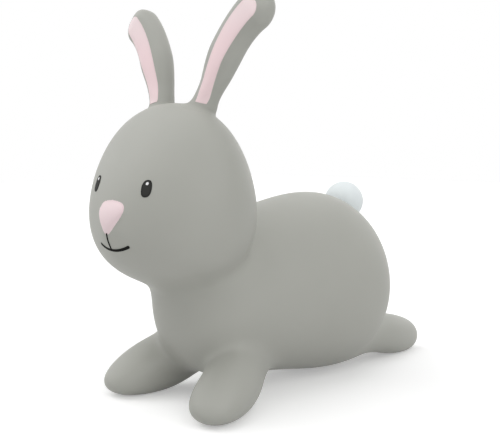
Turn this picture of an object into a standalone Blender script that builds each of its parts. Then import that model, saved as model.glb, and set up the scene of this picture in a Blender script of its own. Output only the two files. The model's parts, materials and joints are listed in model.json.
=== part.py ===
"""Animal hopper: an inflatable ride-on rabbit, moulded as a hollow skin and closed by a stopper.

Metres, +Z up, soles on z = 0. The nose points to -Y and the animal's left side is +X.
"""

import math

import bmesh
import bpy
from mathutils import Matrix, Vector

WALL = 0.0016  # moulded skin
GAP = 0.0003  # between neighbouring pieces
FILM = 0.0007  # printed film

# Each lobe is a ball stretched along one axis. Its two section radii, and the shift of its
# section along the second radius, are (middle, tilt, swell) of the place from -1 to 1.
TRUNK_AT, TRUNK_HALF = (0.0, -0.0168, 0.0), 0.1939
TRUNK_WIDE = (0.1196, 0.0317, 0.0575)
TRUNK_TALL = (0.1269, 0.0336, 0.0627)
TRUNK_LIFT = (0.1426, 0.0033, -0.0146)

HEAD_AT, HEAD_HALF = (0.0, 0.0, 0.2861), 0.1205
HEAD_WIDE = (0.1253, -0.0050, 0.0224)
HEAD_DEEP = (0.0940, -0.0324, 0.0025)
HEAD_FORWARD = (-0.2061, -0.0006, 0.0036)
SNOUT_AT, SNOUT_REACH, SNOUT_OUT = (0.0, -0.3090, 0.2520), 0.033, 0.0032

FORELEG_AT, FORELEG_HALF = (0.0793, -0.1739, 0.0371), 0.0768
FORELEG_YAW, FORELEG_DROP = 0.280, 0.275
FORELEG_WIDE = (0.0363, 0.0102, 0.0033)
FORELEG_TALL = (0.0393, -0.0092, 0.0004)

HINDLEG_AT, HINDLEG_HALF = (0.0438, 0.2124, 0.0392), 0.1031
HINDLEG_YAW, HINDLEG_DROP = -0.056, 0.219
HINDLEG_WIDE = (0.0337, -0.0030, 0.0032)
HINDLEG_TALL = (0.0331, 0.0019, 0.0059)

TAIL_AT, TAIL_RADIUS = (0.0, 0.1612, 0.2610), 0.0314
NOSE_AT, NOSE_HALF = (0.0, -0.3024, 0.2632), 0.0193
NOSE_WIDE, NOSE_DEEP = (0.0170, 0.0120, 0.0060), (0.0105, 0.0, 0.0)

# The neck's fillet is tight at the back and widens from its high to its low height.
NECK_BACK, NECK_FRONT, NECK_HIGH, NECK_LOW = 0.012, 0.075, 0.245, 0.155
LEG_FILLET = 0.034

# The ear follows a curve with three control points. Its root is a ball in a socket of the head.
EAR_ROOT = (0.0457, -0.1818, 0.4045)
EAR_BEND = (0.0670, -0.1683, 0.4856)
EAR_TIP = (0.1094, -0.1603, 0.5166)
EAR_RADIUS = (0.0170, 0.0153, 0.0162)  # at the root, the middle and the tip
EAR_SIDE, EAR_DEEP = 1.59, 1.18  # section radii above the root, as shares of the radius
EAR_LONG = 1.8  # length of the round tip, as a share of the radius
EAR_FLAT = 3.2  # 2 is a round front, more is flatter
EAR_TOE = -0.159  # turn of the front, outwards when positive
EAR_ROUND_ROOT = 0.48  # share of the ear over which the root takes the full section
EAR_CAP = 0.22  # share of the rings on each round end
EAR_PLAY = 0.0006  # of the root in its socket
EAR_HOLE_RADIUS, EAR_HOLE_DEPTH = 0.0050, 0.03
PANEL_FROM, PANEL_TO = 0.03, 1.05
PANEL_OUT = (0.0100, 0.0150, 0.0146)  # reach to the outside at the ear's root, middle and tip
PANEL_IN = (0.0095, 0.0102, 0.0130)  # and towards the other ear
PANEL_END = 0.0120  # height of the round top
PANEL_STEPS, PANEL_END_STEPS = 12, 10
PANEL_INSET = 0.003  # from the ear's chord forward

EYE_AT, EYE_WIDE, EYE_TALL, EYE_LEAN, EYE_STEPS = (0.0508, 0.3010), 0.0071, 0.0105, -0.12, 24
GLINT_AT, GLINT_RADIUS, GLINT_STEPS = (0.0506, 0.3069), 0.0019, 14
MOUTH_TOP, MOUTH_LOW, MOUTH_CORNER = 0.2440, 0.2224, (0.0290, 0.2286)
MOUTH_LINE, MOUTH_STEPS = 0.0013, 16
FACE_FRONT, FACE_BACK = -0.34, -0.22  # y range that the printed marks are cut from
STEM_PROUD = 0.001  # overlap where the stem joins the smile

VALVE_TURN = 0.10  # angle below the trunk's rear end
VALVE_REACH = 0.02
VALVE_STEPS = 32
FLANGE_RADIUS, FLANGE_THICK, FLANGE_SUNK, FLANGE_EDGE = 0.0110, 0.0018, 0.0006, 0.0006
BUSH_RADIUS, BUSH_LENGTH = 0.0070, 0.0140
BORE_OUT, BORE_IN = 0.0047, 0.0041
STOPPER_HEAD, STOPPER_THICK, STOPPER_SHANK, STOPPER_EDGE = 0.0075, 0.0026, 0.0125, 0.0008

FLOOR_SIZE, FLOOR_THICK = 0.9, 0.1
SHARP = math.radians(35)

# Faces around and along each form
TRUNK_MESH, HEAD_MESH, LEG_MESH = (36, 24), (32, 22), (20, 14)
EAR_MESH, EAR_AIR_MESH = (20, 18), (12, 12)
TAIL_MESH, TAIL_AIR_MESH = (24, 16), (16, 10)
NOSE_MESH, SOCKET_MESH, EAR_HOLE_SIDES = (28, 18), (32, 20), 20

PVC = dict(colour=(0.37, 0.38, 0.35), roughness=0.55)
WHITE = dict(colour=(0.75, 0.79, 0.80), roughness=0.5)
PINK = dict(colour=(0.80, 0.66, 0.68), roughness=0.5)
DARK = dict(colour=(0.03, 0.03, 0.03), roughness=0.4)
CLEAR = dict(colour=(0.70, 0.70, 0.68), roughness=0.4)
SIDES = (("left", 1), ("right", -1))

for old in list(bpy.data.objects):
    bpy.data.objects.remove(old)
hopper = bpy.data.collections.new("animal_hopper")
tools = bpy.data.collections.new("cutters")
bpy.context.scene.collection.children.link(hopper)
bpy.context.scene.collection.children.link(tools)


def swell(radii, w):
    return radii[0] + radii[1] * w + radii[2] * w * w


def through(values, t):
    """The smooth value at t that is values[0] at 0, values[1] at one half and values[2] at 1."""
    first, middle, last = values
    return first * (1 - t) * (1 - 2 * t) + middle * 4 * t * (1 - t) + last * t * (2 * t - 1)


def within(value, low, high):
    return max(low, min(high, value))


def eased(value):
    """0 below 0 and 1 above 1, with a soft start and end between them."""
    held = within(value, 0.0, 1.0)
    return held * held * (3 - 2 * held)


def mirrored(point, side):
    return Vector((side * point[0], point[1], point[2]))


class Lobe:
    """A ball stretched along one axis. place gives its surface and distance measures from it."""

    def __init__(self, at, along, over, half, wide, tall, shift=(0.0, 0.0, 0.0)):
        self.at, self.along, self.over = Vector(at), Vector(along), Vector(over)
        self.across = self.along.cross(self.over)
        self.half, self.wide, self.tall, self.shift = half, wide, tall, shift

    def place(self, a, b, w, grow):
        point = self.at + self.along * ((self.half + grow) * w)
        point += self.across * ((swell(self.wide, w) + grow) * a)
        return point + self.over * (swell(self.shift, w) + (swell(self.tall, w) + grow) * b)

    def distance(self, point):
        offset = point - self.at
        w = offset.dot(self.along) / self.half
        held = within(w, -1.0, 1.0)
        wide, tall = swell(self.wide, held), swell(self.tall, held)
        a = offset.dot(self.across) / wide
        b = (offset.dot(self.over) - swell(self.shift, held)) / tall
        size = math.hypot(a, b, w)
        return size * (size - 1) / math.hypot(a / wide, b / tall, w / self.half)


def leg_lobe(side, at, yaw, drop, heading, half, wide, tall):
    """A leg that points ahead (-1) or back (1), turned out by yaw and down by drop."""
    along = Vector((side * math.sin(yaw), heading * math.cos(yaw), 0)) * math.cos(drop)
    along -= Vector((0, 0, math.sin(drop)))
    across = along.cross(Vector((0, 0, 1))).normalized()
    return Lobe(mirrored(at, side), along, across.cross(along), half, wide, tall)


def round_lobe(at, radius):
    return Lobe(at, (0, 0, 1), (0, 1, 0), radius, (radius, 0, 0), (radius, 0, 0))


TRUNK = Lobe(TRUNK_AT, (0, 1, 0), (0, 0, 1), TRUNK_HALF, TRUNK_WIDE, TRUNK_TALL, TRUNK_LIFT)
HEAD = Lobe(HEAD_AT, (0, 0, 1), (0, 1, 0), HEAD_HALF, HEAD_WIDE, HEAD_DEEP, HEAD_FORWARD)
TAIL = round_lobe(TAIL_AT, TAIL_RADIUS)
NOSE = Lobe(NOSE_AT, (0, 0, 1), (0, 1, 0), NOSE_HALF, NOSE_WIDE, NOSE_DEEP)
LEGS = {}
for word, side in SIDES:
    LEGS["foreleg_" + word] = leg_lobe(
        side, FORELEG_AT, FORELEG_YAW, FORELEG_DROP, -1, FORELEG_HALF, FORELEG_WIDE, FORELEG_TALL
    )
    LEGS["hindleg_" + word] = leg_lobe(
        side, HINDLEG_AT, HINDLEG_YAW, HINDLEG_DROP, 1, HINDLEG_HALF, HINDLEG_WIDE, HINDLEG_TALL
    )


def neck_fillet(point):
    low = eased((NECK_HIGH - point.z) / (NECK_HIGH - NECK_LOW))
    return NECK_BACK + (NECK_FRONT - NECK_BACK) * low


def leg_fillet(point):
    return LEG_FILLET


def fillet(neighbour, size):
    """How far the skin rises near a neighbouring lobe, as in a smooth join of the two."""

    def rise(point):
        near = max(0.0, 1 - abs(neighbour.distance(point)) / size(point))
        return size(point) * near**3 / 6

    return rise


def snout(point):
    far = (point - Vector(SNOUT_AT)).length / SNOUT_REACH
    return SNOUT_OUT * math.exp(-far * far)


def finish(name, bm, colour=None, roughness=0.5):
    """Make a piece of a bmesh, or a hidden cutter when it has no colour."""
    mesh = bpy.data.meshes.new(name)
    bm.to_mesh(mesh)
    bm.free()
    mesh.shade_smooth()
    mesh.set_sharp_from_angle(angle=SHARP)
    obj = bpy.data.objects.new(name, mesh)
    if colour is None:
        obj.hide_render = True
        obj.display_type = "WIRE"
        tools.objects.link(obj)
        return obj
    material = bpy.data.materials.new(name)
    material.use_nodes = True
    shader = material.node_tree.nodes["Principled BSDF"]
    shader.inputs["Base Color"].default_value = (*colour, 1.0)
    shader.inputs["Roughness"].default_value = roughness
    mesh.materials.append(material)
    hopper.objects.link(obj)
    return obj


def ball(name, place, mesh, rules=(), **look):
    """A ball whose points go to place(a, b, w) and then rise along their normals by the rules."""
    bm = bmesh.new()
    bmesh.ops.create_uvsphere(bm, u_segments=mesh[0], v_segments=mesh[1], radius=1.0)
    for vert in bm.verts:
        vert.co = place(*vert.co)
    if bm.calc_volume(signed=True) < 0:
        bmesh.ops.reverse_faces(bm, faces=bm.faces)
    bm.normal_update()
    steps = [vert.normal * sum(rule(vert.co) for rule in rules) for vert in bm.verts]
    for vert, step in zip(bm.verts, steps):
        vert.co += step
    bmesh.ops.triangulate(bm, faces=bm.faces)
    return finish(name, bm, **look)


def lobe_form(name, lobe, grow, mesh, rules=(), **look):
    return ball(name, lambda a, b, w: lobe.place(a, b, w, grow), mesh, rules, **look)


def trunk_form(name, grow, **look):
    rules = [fillet(HEAD, neck_fillet)] + [fillet(leg, leg_fillet) for leg in LEGS.values()]
    return lobe_form(name, TRUNK, grow, TRUNK_MESH, rules, **look)


def head_form(name, grow, **look):
    return lobe_form(name, HEAD, grow, HEAD_MESH, (fillet(TRUNK, neck_fillet), snout), **look)


def leg_form(name, lobe, grow, **look):
    return lobe_form(name, lobe, grow, LEG_MESH, (fillet(TRUNK, leg_fillet),), **look)


def ear_curve(t):
    """Point, direction and radius of the ear at t from 0 at the root to 1 at the tip."""
    root, bend, tip = map(Vector, (EAR_ROOT, EAR_BEND, EAR_TIP))
    point = root * (1 - t) ** 2 + bend * (2 * t * (1 - t)) + tip * t * t
    course = ((bend - root) * (1 - t) + (tip - bend) * t).normalized()
    return point, course, through(EAR_RADIUS, t)


def ear_section(a, b, shaped):
    """A point on the unit section: an ellipse behind, and flatter than an ellipse in front."""
    ring = math.hypot(a, b) or 1.0
    power = 2 / (2 + (EAR_FLAT - 2) * shaped) if b > 0 else 1.0
    return math.copysign(abs(a / ring) ** power, a), math.copysign(abs(b / ring) ** power, b)


def ear_form(name, side, grow, mesh=EAR_MESH, **look):
    """The root is half a ball and the tip half an ellipsoid, with the full section between them."""
    ahead = Vector((math.sin(EAR_TOE), -math.cos(EAR_TOE), 0))

    def place(a, b, w):
        up = math.acos(within(-w, -1.0, 1.0)) / math.pi
        t = within((up - EAR_CAP) / (1 - 2 * EAR_CAP), 0.0, 1.0)
        cap = max(0.0, EAR_CAP - up, up - 1 + EAR_CAP) / EAR_CAP * math.pi / 2
        point, course, radius = ear_curve(t)
        front = (ahead - course * course.dot(ahead)).normalized()
        shaped = eased(t / EAR_ROUND_ROOT)
        shares = EAR_SIDE, EAR_DEEP, EAR_LONG
        wide, deep, long = (radius * (1 + (share - 1) * shaped) + grow for share in shares)
        beside, forward = ear_section(a, b, shaped)
        point += course * math.copysign(long * math.sin(cap), w)
        point += front.cross(course) * (wide * beside * math.cos(cap))
        return mirrored(point + front * (deep * forward * math.cos(cap)), side)

    return ball(name, place, mesh, **look)


def cut(obj, cutter, operation="DIFFERENCE"):
    modifier = obj.modifiers.new(cutter.name, "BOOLEAN")
    modifier.solver = "EXACT"
    modifier.operation = operation
    modifier.object = cutter


def rod(name, radius, start, end, sides):
    bm = bmesh.new()
    bmesh.ops.create_cone(
        bm, cap_ends=True, segments=sides, radius1=radius, radius2=radius, depth=(end - start).length
    )
    turn = (end - start).to_track_quat("Z", "Y").to_matrix().to_4x4()
    bmesh.ops.transform(bm, matrix=Matrix.Translation((start + end) / 2) @ turn, verts=bm.verts)
    return finish(name, bm)


def below(name, top):
    """A cutter for everything below this height, to flatten a sole."""
    bm = bmesh.new()
    bmesh.ops.create_cube(bm, size=1.0)
    size = Matrix.Diagonal((FLOOR_SIZE, FLOOR_SIZE, FLOOR_THICK, 1))
    at = Matrix.Translation((0, 0, top - FLOOR_THICK / 2))
    bmesh.ops.transform(bm, matrix=at @ size, verts=bm.verts)
    return finish(name, bm)


def plate(name, outline, front, back, **look):
    """A plate with this (x, z) outline, from y = front to y = back."""
    curve = bpy.data.curves.new(name, "CURVE")
    curve.dimensions = "2D"
    curve.fill_mode = "BOTH"
    curve.extrude = (back - front) / 2
    spline = curve.splines.new("POLY")
    spline.points.add(len(outline) - 1)
    for point, (x, z) in zip(spline.points, outline):
        point.co = (x, z, 0, 1)
    spline.use_cyclic_u = True
    holder = bpy.data.objects.new(name + "_curve", curve)
    tools.objects.link(holder)
    flat = bpy.data.meshes.new_from_object(holder.evaluated_get(bpy.context.evaluated_depsgraph_get()))
    bpy.data.objects.remove(holder)
    flat.transform(Matrix.Translation((0, (front + back) / 2, 0)) @ Matrix.Rotation(math.pi / 2, 4, "X"))
    bm = bmesh.new()
    bm.from_mesh(flat)
    bmesh.ops.remove_doubles(bm, verts=bm.verts, dist=1e-6)
    bmesh.ops.recalc_face_normals(bm, faces=bm.faces)
    return finish(name, bm, **look)


def film(obj, form, lift=GAP):
    """Keep of this plate only a film that follows form(name, grow) a little above its surface."""
    cut(obj, form(obj.name + "_over", lift + FILM), "INTERSECT")
    cut(obj, form(obj.name + "_under", lift))


def hang(empty, *pieces):
    """Parent the pieces to the empty where they are."""
    bpy.context.view_layer.update()
    for piece in pieces:
        piece.parent = empty
        piece.matrix_parent_inverse = empty.matrix_world.inverted()


def make_trunk_and_head():
    trunk, head = trunk_form("trunk_shell", 0.0, **PVC), head_form("head_shell", 0.0, **PVC)
    head_air = head_form("head_air", -WALL)
    cut(trunk, trunk_form("trunk_air", -WALL))
    cut(head, head_air)
    cut(head, trunk_over)
    cut(trunk, head_air)
    return trunk, head


def make_leg(name, lobe):
    leg = leg_form(name, lobe, 0.0, **PVC)
    air = leg_form(name + "_air", lobe, -WALL)
    cut(air, floor_inner)
    cut(leg, floor_outer)
    cut(leg, air)
    cut(leg, trunk_over)
    cut(trunk, air)


def make_tail():
    tail = lobe_form("tail_ball", TAIL, 0.0, TAIL_MESH, **WHITE)
    air = lobe_form("tail_air", TAIL, -WALL, TAIL_AIR_MESH)
    cut(tail, air)
    cut(tail, trunk_over)
    cut(trunk, air)


def panel_outline(side):
    outer, inner = [], []
    for i in range(PANEL_STEPS + 1):
        t = PANEL_FROM + (PANEL_TO - PANEL_FROM) * i / PANEL_STEPS
        point, course, _ = ear_curve(t)
        up = Vector((course.x, 0, course.z)).normalized()
        out = Vector((up.z, 0, -up.x))
        outer.append(point + out * through(PANEL_OUT, t))
        inner.append(point - out * through(PANEL_IN, t))
    middle, half = (outer[-1] + inner[-1]) / 2, (outer[-1] - inner[-1]) / 2
    turns = [math.pi * i / PANEL_END_STEPS for i in range(1, PANEL_END_STEPS)]
    end = [middle + half * math.cos(turn) + up * (PANEL_END * math.sin(turn)) for turn in turns]
    return [(side * point.x, point.z) for point in outer + end + inner[::-1]]


def make_ear(word, side):
    name, root = "ear_" + word, mirrored(EAR_ROOT, side)
    ear = ear_form(name, side, 0.0, **PVC)
    cut(ear, ear_form(name + "_air", side, -WALL, EAR_AIR_MESH))
    course = mirrored(ear_curve(0.0)[1], side)
    cut(ear, rod(name + "_hole", EAR_HOLE_RADIUS, root - course * EAR_HOLE_DEPTH, root, EAR_HOLE_SIDES))
    socket = round_lobe(root, EAR_RADIUS[0] + EAR_PLAY)
    cut(head, lobe_form(name + "_socket", socket, 0.0, SOCKET_MESH))
    panel = plate("inner_ear_" + word, panel_outline(side), FACE_FRONT, EAR_ROOT[1] - PANEL_INSET, **PINK)
    lean = (EAR_TIP[1] - EAR_ROOT[1]) / (EAR_TIP[2] - EAR_ROOT[2])
    for vert in panel.data.vertices:
        vert.co.y += lean * (vert.co.z - EAR_ROOT[2])
    film(panel, lambda part, grow: ear_form(part, side, grow))
    hinge = bpy.data.objects.new(name + "_hinge", None)
    hinge.location = root
    hopper.objects.link(hinge)
    hang(hinge, ear, panel)


def oval(at, wide, tall, lean, steps, side):
    outline = []
    for i in range(steps):
        turn = 2 * math.pi * i / steps
        x, z = Vector((wide * math.cos(turn), tall * math.sin(turn))) @ Matrix.Rotation(lean, 2)
        outline.append((side * (at[0] + x), at[1] + z))
    return outline


def make_eye(word, side):
    outline = oval(EYE_AT, EYE_WIDE, EYE_TALL, EYE_LEAN, EYE_STEPS, side)
    film(plate("eye_" + word, outline, FACE_FRONT, FACE_BACK, **DARK), head_form)
    outline = oval(GLINT_AT, GLINT_RADIUS, GLINT_RADIUS, 0.0, GLINT_STEPS, side)
    glint = plate("eye_glint_" + word, outline, FACE_FRONT, FACE_BACK, **WHITE)
    film(glint, head_form, lift=2 * GAP + FILM)


def make_nose():
    nose = lobe_form("nose", NOSE, 0.0, NOSE_MESH, **PINK)
    cut(nose, head_form("nose_bed", GAP))


def make_mouth():
    smile, (reach, rise) = [], MOUTH_CORNER
    for i in range(MOUTH_STEPS + 1):
        u = 2 * i / MOUTH_STEPS - 1
        lean = Vector((-2 * (rise - MOUTH_LOW) * u / reach, 1)).normalized() * MOUTH_LINE
        smile.append((Vector((reach * u, MOUTH_LOW + (rise - MOUTH_LOW) * u * u)), lean))
    outline = [tuple(p + n) for p, n in smile] + [tuple(p - n) for p, n in reversed(smile)]
    mouth = plate("mouth", outline, FACE_FRONT, FACE_BACK, **DARK)
    stem = [(x * MOUTH_LINE, z) for x, z in ((1, MOUTH_TOP), (-1, MOUTH_TOP), (-1, MOUTH_LOW), (1, MOUTH_LOW))]
    cut(mouth, plate("mouth_stem", stem, FACE_FRONT - STEM_PROUD, FACE_BACK + STEM_PROUD), "UNION")
    film(mouth, head_form)


def rump(turn):
    """(y, z) of the trunk's lower line, at this angle below its rear end."""
    w = math.cos(turn)
    return TRUNK_AT[1] + TRUNK_HALF * w, swell(TRUNK_LIFT, w) - swell(TRUNK_TALL, w) * math.sin(turn)


def turned(name, profile, **look):
    """A turned piece on the valve's axis, from (radius, outward) points going down its outer side."""
    bm = bmesh.new()
    points = [bm.verts.new((radius, 0, height)) for radius, height in profile]
    for pair in zip(points, points[1:]):
        bm.edges.new(pair)
    obj = finish(name, bm, **look)
    screw = obj.modifiers.new("turn", "SCREW")
    screw.steps = screw.render_steps = VALVE_STEPS
    screw.use_merge_vertices = True
    screw.merge_threshold = 1e-5
    (y0, z0), (y1, z1) = rump(VALVE_TURN * 1.1), rump(VALVE_TURN * 0.9)
    obj.location = (0, *rump(VALVE_TURN))
    obj.rotation_euler = (math.atan2(z0 - z1, y0 - y1), 0, 0)
    return obj


def make_valve():
    under, over = GAP - FLANGE_SUNK, FLANGE_THICK - FLANGE_SUNK
    hole = [
        (0.0, VALVE_REACH),
        (FLANGE_RADIUS + GAP, VALVE_REACH),
        (FLANGE_RADIUS + GAP, -FLANGE_SUNK),
        (BUSH_RADIUS + GAP, -FLANGE_SUNK),
        (BUSH_RADIUS + GAP, -VALVE_REACH),
        (0.0, -VALVE_REACH),
    ]
    cut(trunk, turned("valve_hole", hole))
    seat = [
        (BORE_OUT, over),
        (FLANGE_RADIUS - FLANGE_EDGE, over),
        (FLANGE_RADIUS, over - FLANGE_EDGE),
        (FLANGE_RADIUS, under),
        (BUSH_RADIUS, under),
        (BUSH_RADIUS, -BUSH_LENGTH),
        (BORE_IN, -BUSH_LENGTH),
        (BORE_OUT, over),
    ]
    turned("valve_seat", seat, **CLEAR)
    collar = over + GAP
    top = collar + STOPPER_THICK
    stopper = [
        (0.0, top),
        (STOPPER_HEAD - STOPPER_EDGE, top),
        (STOPPER_HEAD, top - STOPPER_EDGE),
        (STOPPER_HEAD, collar),
        (BORE_OUT - GAP, collar),
        (BORE_IN - GAP, -STOPPER_SHANK),
        (0.0, -STOPPER_SHANK),
    ]
    turned("valve_stopper", stopper, **CLEAR)


trunk_over = trunk_form("trunk_over", GAP)
floor_outer, floor_inner = below("floor_outer", 0.0), below("floor_inner", WALL)
trunk, head = make_trunk_and_head()
for leg_name, leg in LEGS.items():
    make_leg(leg_name, leg)
make_tail()
make_nose()
make_mouth()
for word, side in SIDES:
    make_ear(word, side)
    make_eye(word, side)
make_valve()
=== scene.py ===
# %% [markdown]
# # An inflatable rabbit hopper
# A hopper is one hollow skin of soft PVC. It is cast in a heated mould that turns, so that the
# liquid PVC coats the walls, and a stopper keeps the air in. This lesson loads the construction of
# the toy as a fixed frame and then makes each surface that shows: the skin, the ears, the tail, the
# painted face and the valve.

# %% Load the frame
import json
import math

import bmesh
import bpy
from mathutils import Matrix, Vector

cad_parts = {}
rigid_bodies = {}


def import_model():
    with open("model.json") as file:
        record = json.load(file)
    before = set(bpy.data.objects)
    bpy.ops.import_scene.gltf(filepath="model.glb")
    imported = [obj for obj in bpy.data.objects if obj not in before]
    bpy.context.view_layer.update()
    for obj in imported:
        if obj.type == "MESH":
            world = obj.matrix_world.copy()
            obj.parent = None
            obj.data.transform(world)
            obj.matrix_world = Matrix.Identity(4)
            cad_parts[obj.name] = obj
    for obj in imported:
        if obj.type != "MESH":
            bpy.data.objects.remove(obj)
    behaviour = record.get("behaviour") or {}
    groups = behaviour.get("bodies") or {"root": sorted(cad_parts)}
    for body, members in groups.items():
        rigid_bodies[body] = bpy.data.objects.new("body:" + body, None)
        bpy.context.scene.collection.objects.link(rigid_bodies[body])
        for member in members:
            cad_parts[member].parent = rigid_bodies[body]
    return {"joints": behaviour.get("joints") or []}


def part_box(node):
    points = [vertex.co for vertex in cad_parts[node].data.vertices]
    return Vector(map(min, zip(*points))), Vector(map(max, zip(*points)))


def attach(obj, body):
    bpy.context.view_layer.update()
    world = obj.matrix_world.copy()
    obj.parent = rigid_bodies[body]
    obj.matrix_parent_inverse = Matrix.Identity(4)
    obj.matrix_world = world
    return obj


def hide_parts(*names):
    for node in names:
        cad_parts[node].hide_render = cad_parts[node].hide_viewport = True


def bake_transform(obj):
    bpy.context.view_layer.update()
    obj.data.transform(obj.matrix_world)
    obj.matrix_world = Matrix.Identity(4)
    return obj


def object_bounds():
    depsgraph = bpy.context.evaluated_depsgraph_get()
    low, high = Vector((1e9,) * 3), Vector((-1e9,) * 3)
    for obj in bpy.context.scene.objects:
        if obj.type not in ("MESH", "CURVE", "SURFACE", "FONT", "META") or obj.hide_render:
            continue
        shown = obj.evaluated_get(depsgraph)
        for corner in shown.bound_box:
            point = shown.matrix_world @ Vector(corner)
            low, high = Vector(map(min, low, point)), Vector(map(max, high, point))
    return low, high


for old in list(bpy.data.objects):
    bpy.data.objects.remove(old)
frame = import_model()
cad_low, cad_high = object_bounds()
joints = {joint["name"]: joint for joint in frame["joints"]}
SIDES = (("left", 1), ("right", -1))

# %% [markdown]
# ## Sums on wires
# Both geometry and materials are node trees, and a sum in a tree takes one node for each sign.
# Placing those nodes one by one hides the sum. This small class wraps an output socket and gives it
# the usual signs, so that a shape or a finish reads as the formula it is. One method adds any other
# node: its settings come first, then the values or the wires of its sockets.

# %% Wires


class Wire:
    """An output socket. Signs between wires add Math nodes, or Vector Math nodes for vectors."""

    def __init__(self, socket):
        self.socket = socket

    def node(self, kind, values=None, output=0, **settings):
        """Add a node of this kind to the same tree and return one of its outputs."""
        tree = self.socket.id_data
        made = tree.nodes.new(kind)
        for name, setting in settings.items():
            setattr(made, name, setting)
        for key, value in (values or {}).items():
            if isinstance(value, Wire):
                tree.links.new(value.socket, made.inputs[key])
            else:
                made.inputs[key].default_value = value
        return Wire(made.outputs[output])

    def sibling(self, output):
        """Another output of the same node."""
        return Wire(self.socket.node.outputs[output])

    def math(self, operation, *others, output=0):
        parts = [self, *others]
        wires = [part.socket.type for part in parts if isinstance(part, Wire)]
        if "VECTOR" not in wires and not any(isinstance(part, (tuple, Vector)) for part in parts):
            return self.node("ShaderNodeMath", dict(enumerate(parts)), operation=operation)
        parts = [(part,) * 3 if isinstance(part, (int, float)) else part for part in parts]
        return self.node("ShaderNodeVectorMath", dict(enumerate(parts)), output, operation=operation)

    def dot(self, other):
        return self.math("DOT_PRODUCT", other, output="Value")

    def length(self):
        return self.math("LENGTH", output="Value")

    def clamp(self, low, high):
        return self.math("MAXIMUM", low).math("MINIMUM", high)

    def eased(self):
        """0 below 0 and 1 above 1, with a soft start and end between them."""
        held = self.clamp(0.0, 1.0)
        return held * held * (3.0 - 2.0 * held)

    def split(self):
        parts = self.node("ShaderNodeSeparateXYZ", {0: self})
        return [parts.sibling(axis) for axis in "XYZ"]

    def pack(self, y, z):
        return self.node("ShaderNodeCombineXYZ", {0: self, 1: y, 2: z})

    def __add__(self, other):
        return self.math("ADD", other)

    def __sub__(self, other):
        return self.math("SUBTRACT", other)

    def __mul__(self, other):
        return self.math("MULTIPLY", other)

    def __truediv__(self, other):
        return self.math("DIVIDE", other)

    def __neg__(self):
        return self * -1.0

    def __rsub__(self, other):
        return -self + other

    def __rtruediv__(self, other):
        return self.math("POWER", -1.0) * other

    __radd__ = __add__
    __rmul__ = __mul__


print("wires ready")

# %% [markdown]
# A geometry tree takes its sizes through named inputs, so that one rule can make pieces of different
# sizes, and it gives one result. Two helpers open and close such a tree.

# %% Trees with named inputs


def geometry_tree(name, **inputs):
    """A geometry tree with these named inputs, and the wires of the inputs by name."""
    tree = bpy.data.node_groups.new(name, "GeometryNodeTree")
    for label, kind in inputs.items():
        tree.interface.new_socket(label, in_out="INPUT", socket_type="NodeSocket" + kind)
    source = tree.nodes.new("NodeGroupInput")
    return tree, {socket.name: Wire(socket) for socket in source.outputs if socket.name}


def end_tree(tree, wire, kind):
    """Make this wire the tree's result."""
    tree.interface.new_socket("Result", in_out="OUTPUT", socket_type="NodeSocket" + kind)
    tree.links.new(wire.socket, tree.nodes.new("NodeGroupOutput").inputs["Result"])
    return tree


print("trees ready")

# %% [markdown]
# ## The lobes
# A mould maker shapes such a toy from a few swollen lobes: the trunk, the head and four stub legs.
# Each lobe is a ball stretched along one axis, whose section swells and tapers along it. A node group
# holds that rule once. It answers how far a point is from the lobe's surface, less than zero inside,
# because distances are easy to join smoothly, while meshes are not.

# %% One lobe as a distance
TINY = 1e-6  # keeps a divisor away from zero


def lobe_group():
    tree, given = geometry_tree(
        "stretched_ball",
        Place="Vector",
        Centre="Vector",
        Along="Vector",
        Over="Vector",
        Half="Float",
        Wide="Vector",
        Tall="Vector",
        Lift="Vector",
    )
    offset = given["Place"] - given["Centre"]
    w = offset.dot(given["Along"]) / given["Half"]
    held = w.clamp(-1.0, 1.0)
    powers = held.node("ShaderNodeCombineXYZ", {0: 1.0, 1: held, 2: held * held})
    wide, tall, lift = (given[key].dot(powers) for key in ("Wide", "Tall", "Lift"))
    across = given["Along"].math("CROSS_PRODUCT", given["Over"])
    a = offset.dot(across) / wide
    b = (offset.dot(given["Over"]) - lift) / tall
    size = a.pack(b, w).length()
    steepness = (a / wide).pack(b / tall, w / given["Half"]).length()
    return end_tree(tree, size * (size - 1.0) / steepness.math("MAXIMUM", TINY), "Float")


LOBE = lobe_group()


def lobe(place, sizes):
    return place.node("GeometryNodeGroup", {"Place": place, **sizes}, node_tree=LOBE)


print("lobe group with", len(LOBE.nodes), "nodes")

# %% [markdown]
# The trunk lies level and the head stands upright, so their axes are plain. Their sizes are those of
# the construction, in metres. Width, height and lift of the section have three numbers each: the value
# in the middle, its slope along the axis and its swell towards both ends.

# %% Trunk and head
TRUNK = {
    "Centre": (0, -0.0168, 0),
    "Along": (0, 1, 0),
    "Over": (0, 0, 1),
    "Half": 0.1939,
    "Wide": (0.1196, 0.0317, 0.0575),
    "Tall": (0.1269, 0.0336, 0.0627),
    "Lift": (0.1426, 0.0033, -0.0146),
}
HEAD = {
    "Centre": (0, 0, 0.2861),
    "Along": (0, 0, 1),
    "Over": (0, 1, 0),
    "Half": 0.1205,
    "Wide": (0.1253, -0.0050, 0.0224),
    "Tall": (0.0940, -0.0324, 0.0025),
    "Lift": (-0.2061, -0.0006, 0.0036),
}
print("trunk", 2 * TRUNK["Half"], "m long, head", 2 * HEAD["Half"], "m high")

# %% [markdown]
# The legs point ahead or back and drop to the floor. The forelegs also turn out, and the hind legs turn
# in a little. A helper works out an axis from those two angles. Only the left legs are given, because
# the right ones mirror them.

# %% Legs


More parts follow.
